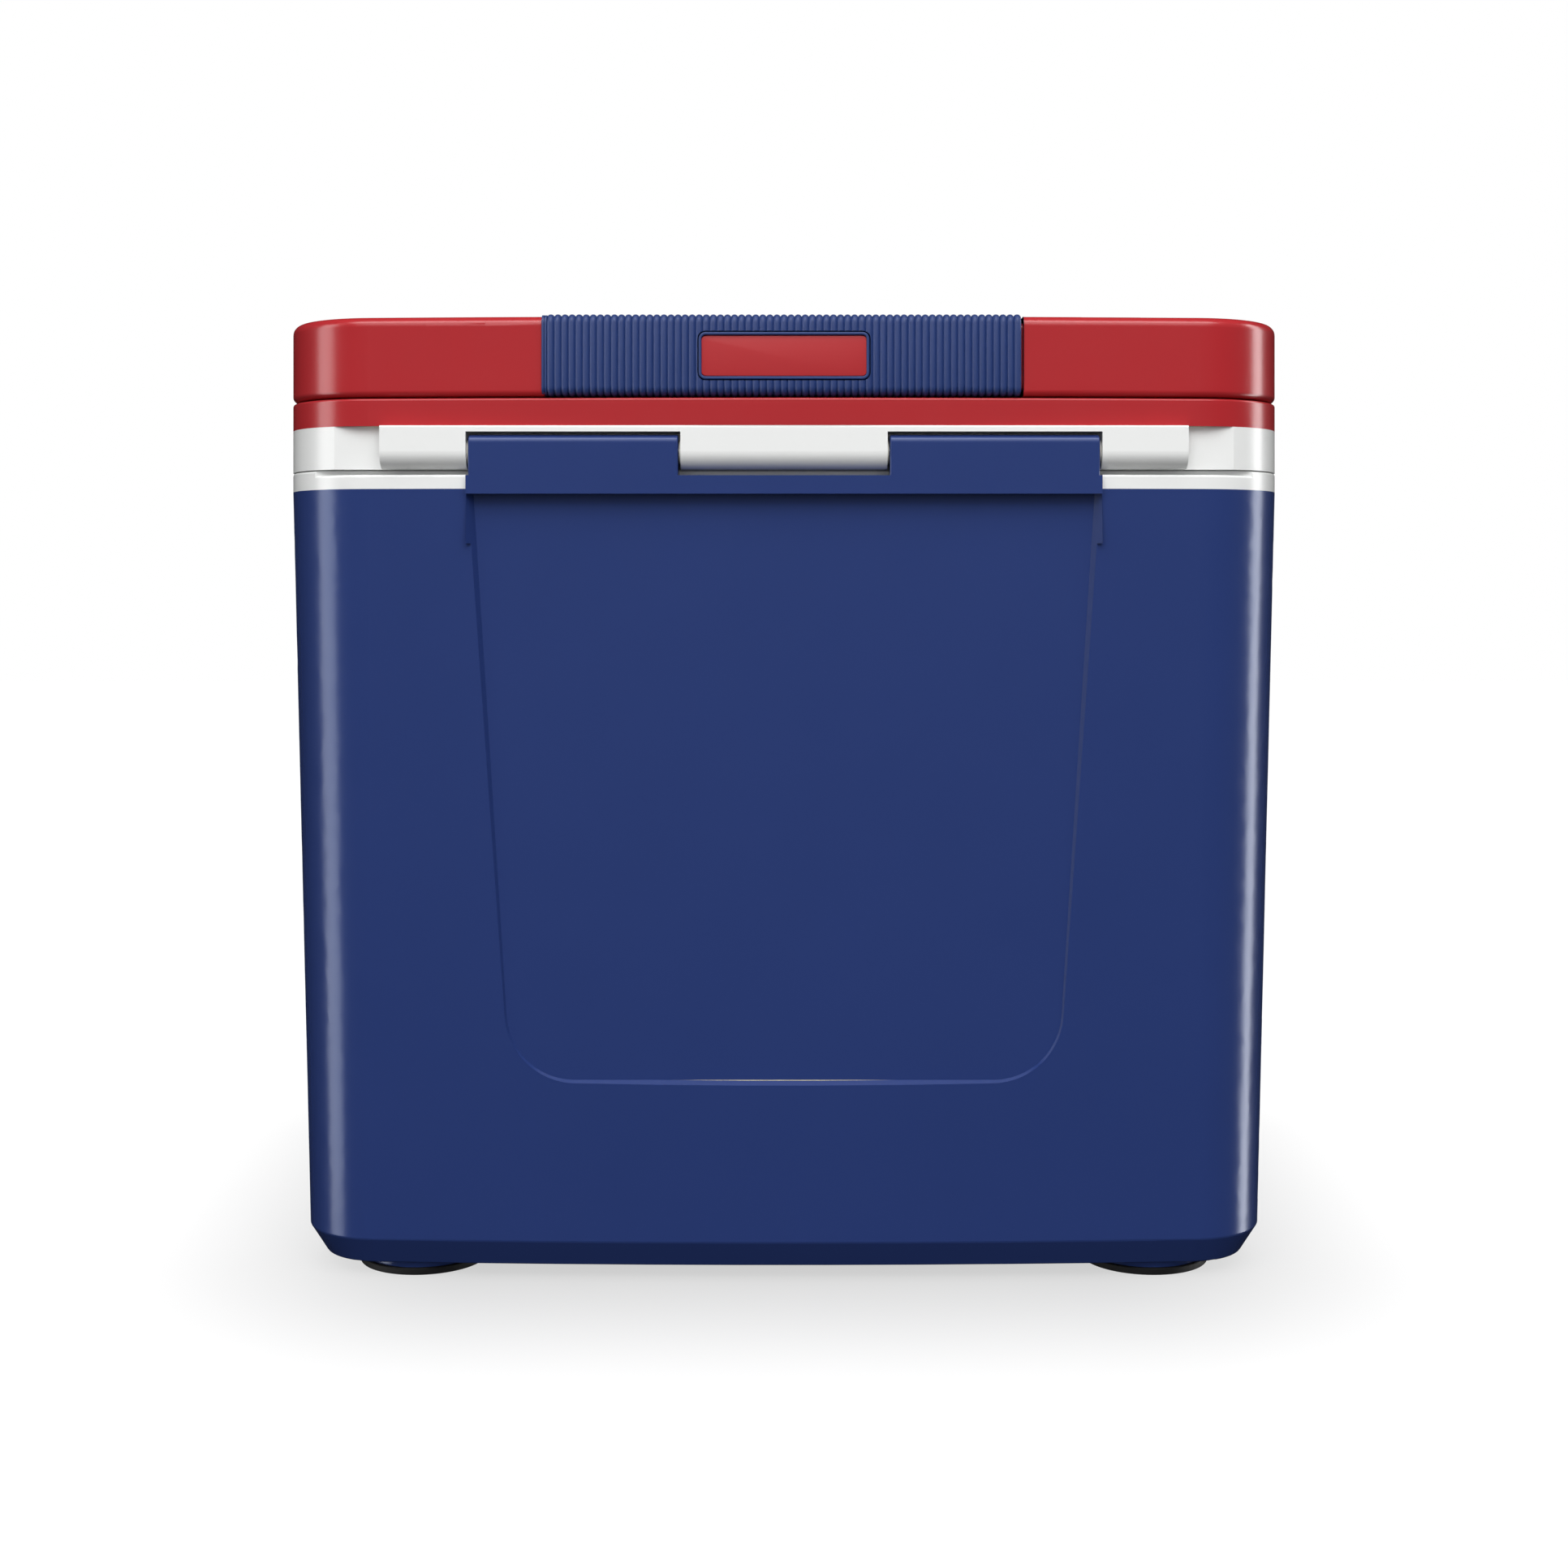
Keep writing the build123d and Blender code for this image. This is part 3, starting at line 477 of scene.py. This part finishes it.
# %% [markdown]
# ## The ribbed grip
# The grip is a soft sleeve with 67 round ribs around the handle's bar, and a plain band
# at each end. One rib is a short piece of rounded bar that swells to its crest and
# narrows again. It is drawn once, as a face with round corners that is pushed out in
# small steps, and then copied along the bar with a spin of no angle.

# %% Measures of the grip
RIBS = 67
RIB_HEIGHT = 0.8
RIB_STEPS = 8
END_BAND = 1.07
END_RISE = 0.45
END_START = 0.02  # rise of the band's outer face
BAND_EDGE = 0.12  # length over which the band rises and falls
SLEEVE_CORNER = 3.4
grip_low, grip_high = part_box("handle_grip")
grip_centre = (grip_low + grip_high) / 2
valley_y = (grip_high.y - grip_low.y) / MM - 2 * RIB_HEIGHT
valley_z = (grip_high.z - grip_low.z) / MM - 2 * RIB_HEIGHT
rib_pitch = ((grip_high.x - grip_low.x) / MM - 2 * END_BAND) / RIBS
rib_radius = (rib_pitch**2 / 4 + RIB_HEIGHT**2) / (2 * RIB_HEIGHT)
print("rib pitch", round(rib_pitch, 3), "rib radius", round(rib_radius, 3))


# %% One rib, swelling and narrowing
def rib_rise(along):
    """Height of the round rib at a distance along its pitch."""
    return sqrt(rib_radius**2 - (along - rib_pitch / 2) ** 2) - rib_radius + RIB_HEIGHT


def swell(bm, face, rise, from_rise):
    """Grow an end face from one rise above the valley to another."""
    grow_y = (valley_y + 2 * rise) / (valley_y + 2 * from_rise)
    grow_z = (valley_z + 2 * rise) / (valley_z + 2 * from_rise)
    space = Matrix.Translation(-face.calc_center_bounds())
    bmesh.ops.scale(bm, vec=(1, grow_y, grow_z), space=space, verts=face.verts)


def sleeve_length(bm, x, profile, way=1, closed=False):
    """Sleeve along X from (distance, rise) pairs; closed keeps a face at its start."""
    start = Vector((x, grip_centre.y, grip_centre.z))
    end = rounded_face(bm, start, valley_y, valley_z, SLEEVE_CORNER, "X")
    swell(bm, end, profile[0][1], 0)
    for (x0, rise0), (x1, rise1) in zip(profile, profile[1:]):
        end = push(bm, end, (way * (x1 - x0) * MM, 0, 0), closed=closed and x0 == 0)
        swell(bm, end, rise1, rise0)
    bmesh.ops.delete(bm, geom=[end], context="FACES_ONLY")


# %% The whole sleeve
grip = bmesh.new()
stations = [rib_pitch * i / RIB_STEPS for i in range(RIB_STEPS + 1)]
sleeve_length(grip, grip_low.x + END_BAND * MM, [(along, rib_rise(along)) for along in stations])
bmesh.ops.spin(
    grip,
    geom=grip.verts[:] + grip.edges[:] + grip.faces[:],
    angle=0,
    axis=(1, 0, 0),
    cent=(0, 0, 0),
    dvec=(rib_pitch * MM, 0, 0),
    steps=RIBS - 1,
    use_duplicate=True,
)
band = [
    (0, END_START),
    (BAND_EDGE, END_RISE),
    (END_BAND - BAND_EDGE, END_RISE),
    (END_BAND, 0),
]
sleeve_length(grip, grip_low.x, band, closed=True)
sleeve_length(grip, grip_high.x, band, way=-1, closed=True)
weld(grip)
print("ribs", RIBS, "faces", len(grip.faces), "open edges", len(rim_of(grip.verts)))

# %% [markdown]
# ## The badge's frame and the badge
# On the hinge side the ribs stop around a smooth moulded frame that holds a red plate.
# The ribs are cut away there with a rounded block, which is how the mould is cut too.
# The frame is a plate whose face is inset and pushed in, so its lip stays. The badge is
# left blank.

# %% Cut the ribs away behind the frame
BADGE_GAP = 0.5  # dark groove around the frame
LIP_SIDE = 1.0
LIP_TOP = 1.4
FRAME_DEPTH = 3.2
BLOCK_CORNER = 3.2
BLOCK_ABOVE = 1  # the cutting block starts this far in front of the ribs
badge_low, badge_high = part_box("handle_badge")
badge_centre = (badge_low + badge_high) / 2
badge_x = (badge_high.x - badge_low.x) / MM
badge_z = (badge_high.z - badge_low.z) / MM
frame_x, frame_z = badge_x + 2 * LIP_SIDE, badge_z + 2 * LIP_TOP
front_y = grip_low.y


def on_front(depth):
    """Point in the badge's middle, at a depth in millimetres behind the grip's front."""
    return Vector((badge_centre.x, front_y + depth * MM, badge_centre.z))


def apply_cut(piece, cutter):
    """Boolean difference, applied, so that the piece keeps one plain mesh."""
    cut = piece.modifiers.new("cut", "BOOLEAN")
    cut.operation = "DIFFERENCE"
    cut.object = cutter
    depsgraph = bpy.context.evaluated_depsgraph_get()
    mesh = bpy.data.meshes.new_from_object(piece.evaluated_get(depsgraph))
    piece.modifiers.clear()
    piece.data = mesh
    bpy.data.objects.remove(cutter)
    print(piece.name, len(mesh.polygons), "faces after the cut")


sleeve = make_piece(
    "grip_sleeve", grip, blue_grip, "handle", ["handle_grip"], smooth_angle=50
)
block = bmesh.new()
size_x, size_z = frame_x + 2 * BADGE_GAP, frame_z + 2 * BADGE_GAP
end = rounded_face(block, on_front(-BLOCK_ABOVE), size_x, size_z, BLOCK_CORNER, "Y")
push(block, end, (0, (BLOCK_ABOVE + FRAME_DEPTH) * MM, 0), closed=True)
weld(block)
bmesh.ops.recalc_face_normals(block, faces=block.faces)
cutter_mesh = bpy.data.meshes.new("cutter")
block.to_mesh(cutter_mesh)
block.free()
cutter = bpy.data.objects.new("cutter", cutter_mesh)
scene.collection.objects.link(cutter)
apply_cut(sleeve, cutter)

# %% The frame's lip
LIP_BREAK = 0.35
LIP_ZONE = 0.3  # depth in front of which an edge belongs to the lip
LIP_SINK = 0.1  # lip behind the ribs' crests
FRAME_CORNER = 2.7
LIP_WIDTH = 1.15
SEAT_DEPTH = 1.5
SEAT_FLOOR = 2.4  # depth of the pocket behind the lip
bm = bmesh.new()
end = rounded_face(bm, on_front(FRAME_DEPTH), frame_x, frame_z, FRAME_CORNER, "Y")
end = push(bm, end, (0, -(FRAME_DEPTH - LIP_SINK) * MM, 0), closed=True)
bmesh.ops.inset_region(bm, faces=[end], thickness=LIP_WIDTH * MM, use_even_offset=True)
push(bm, end, (0, SEAT_FLOOR * MM, 0))
weld(bm)
lip = [
    edge
    for edge in bm.edges
    if is_sharp(edge) and all(vert.co.y < on_front(LIP_ZONE).y for vert in edge.verts)
]
round_edges(bm, lip, LIP_BREAK)
make_piece("badge_frame", bm, blue_grip, "handle")

# %% The badge
BADGE_BREAK = 0.25
BADGE_CORNER = 2.0
BADGE_GROW = 0.1  # larger than the plain plate, so that it fills the pocket
BADGE_BACK = 0.6  # the plate's back behind its seat
BADGE_THICK = 1.1
bm = bmesh.new()
wide, high = badge_x + BADGE_GROW, badge_z + BADGE_GROW
end = rounded_face(bm, on_front(SEAT_DEPTH + BADGE_BACK), wide, high, BADGE_CORNER, "Y")
end = push(bm, end, (0, -BADGE_THICK * MM, 0), closed=True)
weld(bm)
round_edges(bm, end.edges[:], BADGE_BREAK)
make_piece("badge_plate", bm, red_badge, "handle", ["handle_badge"])

# %% [markdown]
# ## The seal
# A ring of soft grey rubber is pressed into a groove under the lid and meets the liner's
# flange. Its section is a rounded bead. The plain ring is copied, its loose triangles
# are merged, and its edges are rolled over with a bevel.

# %% Seal
BEAD_ROUND = 0.75
bm = bmesh.new()
bm.from_mesh(nodes["lid_gasket"].data)
weld(bm)
bmesh.ops.dissolve_limit(bm, angle_limit=radians(0.5), verts=bm.verts, edges=bm.edges)
round_edges(bm, [edge for edge in bm.edges if is_sharp(edge)], BEAD_ROUND)
make_piece("seal_bead", bm, gasket_rubber, "lid", ["lid_gasket"])

# %% [markdown]
# ## Feet
# Four round rubber pads carry the chest. Under each, ring grooves give grip on a wet
# deck, and a screw sits in a hollow. A pad is one closed outline spun about its axis.

# %% Foot pads
PAD_ROUND = 0.7
TREADS = 4
TREAD_DEPTH = 0.6
PAD_HOLE = 1.8  # radii and depth of the screw's hole and of its hollow
PAD_HOLLOW = 4.6
HOLLOW_DEPTH = 2.1


def pad_profile(radius, height, hole, head_hole, head_depth):
    """Closed half section of a pad, from the top's hole outwards and back below."""
    points = [(hole, height), (radius - 0.3, height), (radius, height - 0.3)]
    for step in range(4):
        turn = pi / 2 * step / 3
        points.append((radius - PAD_ROUND * (1 - cos(turn)), PAD_ROUND * (1 - sin(turn))))
    width = (radius - PAD_ROUND - head_hole - 1) / (2 * TREADS)
    outer = radius - PAD_ROUND
    for tread in range(TREADS):
        start = outer - width * (2 * tread + 1)
        points += [(start, 0), (start - 0.2, TREAD_DEPTH)]
        points += [(start - width + 0.2, TREAD_DEPTH), (start - width, 0)]
    return points + [(head_hole, 0), (head_hole, head_depth), (hole, head_depth)]


for corner in ("front_left", "front_right", "rear_left", "rear_right"):
    node = "foot_pad_" + corner
    low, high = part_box(node)
    bm = bmesh.new()
    radius, height = (high.x - low.x) / 2 / MM, (high.z - low.z) / MM
    outline = pad_profile(radius, height, PAD_HOLE, PAD_HOLLOW, HOLLOW_DEPTH)
    verts = lathe(bm, outline, steps=64, loop=True)
    centre = centre_of((low, high))
    bmesh.ops.translate(bm, vec=(centre.x, centre.y, low.z), verts=verts)
    make_piece(node + "_tread", bm, foot_rubber, "chest", [node])

# %% [markdown]
# ## Screws
# All screws are plated steel with a hexagon socket. The feet are screwed on from below,
# the lid's halves are joined from under the lid, and each catch is held by two screws.

# %% Foot and lid screws
def corners(node, head):
    """Centres of the four outermost screws of a node."""
    low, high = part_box(node)
    x, y = high.x - head * MM, high.y - head * MM
    return low, high, [(px, py) for px in (-x, x) for py in (-y, y)]


FOOT_HEAD, LID_HEAD, CATCH_HEAD = 4.5, 3.4, 2.2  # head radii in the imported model
low, high, places = corners("foot_screws", FOOT_HEAD)
bm = bmesh.new()
for x, y in places:
    length = (high.z - low.z) / MM
    screw(bm, (x, y, low.z), (0, 0, -1), FOOT_HEAD, 1.6, length, 1.5, 1.6)
make_piece("foot_socket_screws", bm, steel, "chest", ["foot_screws"])

low, high, places = corners("lid_screws", LID_HEAD)
bm = bmesh.new()
for x, y in places + [(0, places[0][1]), (0, places[1][1])]:
    length = (high.z - low.z) / MM
    screw(bm, (x, y, low.z), (0, 0, -1), LID_HEAD, 1.6, length, 1.3, 1.5)
make_piece("lid_socket_screws", bm, steel, "lid", ["lid_screws"])

# %% Catch screws
CATCH_SINK = 0.05  # head below the top of the plain screw
low, high, places = corners("catch_screws", CATCH_HEAD)
bm = bmesh.new()
for x, y in places:
    length = (high.z - low.z) / MM
    screw(bm, (x, y, high.z - CATCH_SINK * MM), (0, 0, 1), 2.0, 1.1, length, 0.9, 0.8)
make_piece("catch_socket_screws", bm, steel, "chest", ["catch_screws"])

# %% [markdown]
# ## Studio
# The chest stands on a white floor in front of a white background. A large softbox above
# and in front gives the main light, and a narrow one beside it is only reflected, as the
# bright line along the handle's top edge. Two tall softboxes at the sides are only
# reflected too: they draw the bright upright lines on the rounded corners. Three broad
# fills, two in front and one behind, give light without a reflection of their own.

# %% [markdown]
# The floor glows softly, so that it joins the background without a line. Close to the
# chest the glow is dimmed as painted shade: it fades with the distance from the chest's
# footprint, which is taken as a rectangle.

# %% Floor
FLOOR_SIZE = 12.0  # metres
# painted shade: the floor's glow at the chest's footprint and far from it
SHADE_NEAR, SHADE_FAR = 0.60, 0.95
SHADE_REACH = 0.20  # metres around the chest's footprint
FOOTPRINT = (0.12, 0.10, 0)
floor_material, tree = new_material("white_floor_painted_shade")
place = add_node(tree, "ShaderNodeTexCoord").outputs["Object"]
folded = add_node(tree, "ShaderNodeVectorMath", {"operation": "ABSOLUTE"}, links={0: place})
outside = add_node(
    tree,
    "ShaderNodeVectorMath",
    {"operation": "SUBTRACT"},
    {1: FOOTPRINT},
    {0: folded.outputs["Vector"]},
)
clipped = add_node(
    tree,
    "ShaderNodeVectorMath",
    {"operation": "MAXIMUM"},
    {1: (0, 0, 0)},
    {0: outside.outputs["Vector"]},
)
gap = add_node(
    tree, "ShaderNodeVectorMath", {"operation": "LENGTH"}, links={0: clipped.outputs["Vector"]}
)
# painted shade: the floor's glow is dimmed close to the chest's footprint
painted_floor_shade = add_node(
    tree,
    "ShaderNodeMapRange",
    {"interpolation_type": "SMOOTHSTEP"},
    {"From Max": SHADE_REACH, "To Min": SHADE_NEAR, "To Max": SHADE_FAR},
    {"Value": gap.outputs["Value"]},
)
surface = add_node(
    tree,
    "ShaderNodeBsdfPrincipled",
    values={
        "Base Color": (0.12, 0.12, 0.12, 1),
        "Roughness": 0.5,
        "Specular IOR Level": 0.0,
        "Emission Color": (1, 1, 1, 1),
    },
    links={"Emission Strength": painted_floor_shade.outputs["Result"]},
)
add_node(tree, "ShaderNodeOutputMaterial", links={"Surface": surface.outputs["BSDF"]})
bm = bmesh.new()
bmesh.ops.create_grid(bm, x_segments=1, y_segments=1, size=FLOOR_SIZE / 2)
floor_mesh = bpy.data.meshes.new("floor")
bm.to_mesh(floor_mesh)
bm.free()
floor = bpy.data.objects.new("floor", floor_mesh)
floor_mesh.materials.append(floor_material)
scene.collection.objects.link(floor)
floor.visible_glossy = False
floor.visible_diffuse = False
floor.visible_shadow = False

# %% Background and ambient light
AMBIENT_ABOVE = 0.62
AMBIENT_BELOW = 0.10
AMBIENT_GLOSS = 0.01
world = bpy.data.worlds.new("studio")
world.use_nodes = True
tree = world.node_tree
tree.nodes.clear()
direction = add_node(tree, "ShaderNodeTexCoord").outputs["Generated"]
height = add_node(tree, "ShaderNodeSeparateXYZ", links={"Vector": direction}).outputs["Z"]
ambient = add_node(
    tree,
    "ShaderNodeMapRange",
    values={"From Min": -0.15, "From Max": 0.4, "To Min": AMBIENT_BELOW, "To Max": AMBIENT_ABOVE},
    links={"Value": height},
).outputs["Result"]
rays = add_node(tree, "ShaderNodeLightPath").outputs
white = {"Color": (1, 1, 1, 1)}
seen = add_node(tree, "ShaderNodeBackground", values={**white, "Strength": 1.0})
diffuse = add_node(tree, "ShaderNodeBackground", values=white, links={"Strength": ambient})
glossy = add_node(tree, "ShaderNodeBackground", values={**white, "Strength": AMBIENT_GLOSS})
lights = {0: rays["Is Glossy Ray"], 1: diffuse.outputs[0], 2: glossy.outputs[0]}
lighting = add_node(tree, "ShaderNodeMixShader", links=lights)
views = {0: rays["Is Camera Ray"], 1: lighting.outputs[0], 2: seen.outputs[0]}
backdrop = add_node(tree, "ShaderNodeMixShader", links=views)
add_node(tree, "ShaderNodeOutputWorld", links={"Surface": backdrop.outputs[0]})
scene.world = world


# %% Softboxes
def softbox(name, place, aim, size_x, size_y, radiance, reflects=True, lights=True):
    """Rectangular area light of an even radiance, pointing from place to aim."""
    data = bpy.data.lights.new(name, "AREA")
    data.shape = "RECTANGLE"
    data.size, data.size_y = size_x, size_y
    data.energy = radiance * pi * size_x * size_y
    light = bpy.data.objects.new(name, data)
    light.location = place
    light.rotation_euler = (Vector(aim) - Vector(place)).to_track_quat("-Z", "Y").to_euler()
    light.visible_glossy = reflects
    light.visible_diffuse = lights
    light.visible_camera = False
    scene.collection.objects.link(light)


softbox("softbox_top", (0, -1.25, 1.75), (0, 0, 0.3), 2.2, 1.6, 2.2)
softbox("softbox_left", (-1.62, -0.60, 0.5), (-0.19, -0.12, 0.5), 0.62, 2.1, 4.6, lights=False)
softbox("softbox_right", (1.63, 0.08, 0.45), (0.19, -0.12, 0.45), 0.46, 2.2, 7.0, lights=False)
softbox("fill_high", (0, -2.4, 2.6), (0, 0, 0.2), 2.4, 1.8, 1.6, reflects=False)
softbox("fill_front", (0, -2.5, 0.75), (0, 0, 0.2), 2.8, 1.6, 0.9, reflects=False)
softbox("edge_line", (0, -0.95, 1.9), (0, -0.1, 0.39), 2.4, 0.5, 4.0, lights=False)
softbox("fill_back", (0, 2.4, 1.6), (0, 0, 0.2), 3.0, 2.0, 1.1, reflects=False)
scene.view_settings.view_transform = "Standard"
